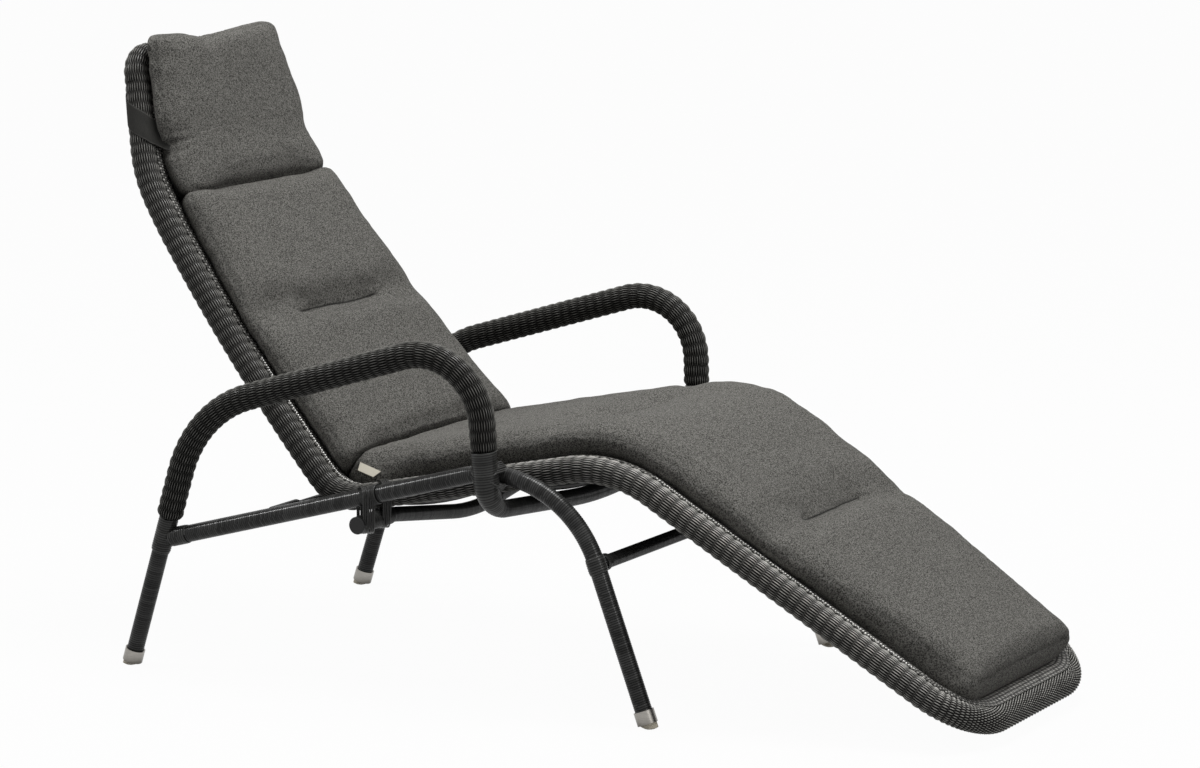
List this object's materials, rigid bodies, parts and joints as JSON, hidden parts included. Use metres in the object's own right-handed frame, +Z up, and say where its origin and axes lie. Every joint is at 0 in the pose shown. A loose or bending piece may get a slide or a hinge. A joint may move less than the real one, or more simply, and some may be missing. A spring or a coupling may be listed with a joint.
{
  "type": "chaise lounge chair",
  "caption": "Patio chaise lounge: an S-shaped woven shell in a tubular armrest frame, with a padded cushion, a headrest and a strap.",
  "frame": {"origin": "floor level, under the middle of the chair's length and width", "axes": "+X across the chair to the sitter's left, +Y towards the head end, +Z up; the foot end faces -Y"},
  "size_m": [0.7184, 1.4861, 0.953],
  "materials": {
    "wound_tube": "metal tube wound with dark grey resin strand, satin",
    "woven_resin": "dark grey woven resin strands, satin",
    "black_cap": "black moulded plastic, satin",
    "ferrule_metal": "satin metal",
    "glide_plastic": "cream moulded plastic, matt",
    "bare_tube": "bare drawn metal",
    "cushion_fabric": "charcoal woven outdoor fabric, matt",
    "strap_fabric": "flat dark elastic webbing, matt",
    "label_fabric": "cream satin ribbon, blank"
  },
  "bodies": {
    "root": {"arm_frame_tube": "wound_tube", "left_side_rail": "wound_tube", "right_side_rail": "wound_tube", "seat_cross_tube": "wound_tube", "cross_tube_caps": "black_cap", "rear_stretcher": "wound_tube", "front_stretcher": "wound_tube", "left_arm_weave": "woven_resin", "right_arm_weave": "woven_resin", "rear_leg_wraps": "woven_resin", "upright_wraps": "woven_resin", "rail_lashings": "woven_resin", "cross_tube_lashings": "woven_resin", "rear_stretcher_wraps": "woven_resin", "front_stretcher_wraps": "woven_resin", "foot_ferrules": "ferrule_metal", "foot_glides": "glide_plastic", "shell_rim_tube": "bare_tube", "shell_ribs": "bare_tube", "shell_rim_weave": "woven_resin", "shell_panel": "woven_resin", "shell_ties": "woven_resin", "headrest_cushion": "cushion_fabric", "back_cushion": "cushion_fabric", "seat_cushion": "cushion_fabric", "headrest_strap": "strap_fabric", "cushion_label": "label_fabric"}
  },
  "joints": []
}
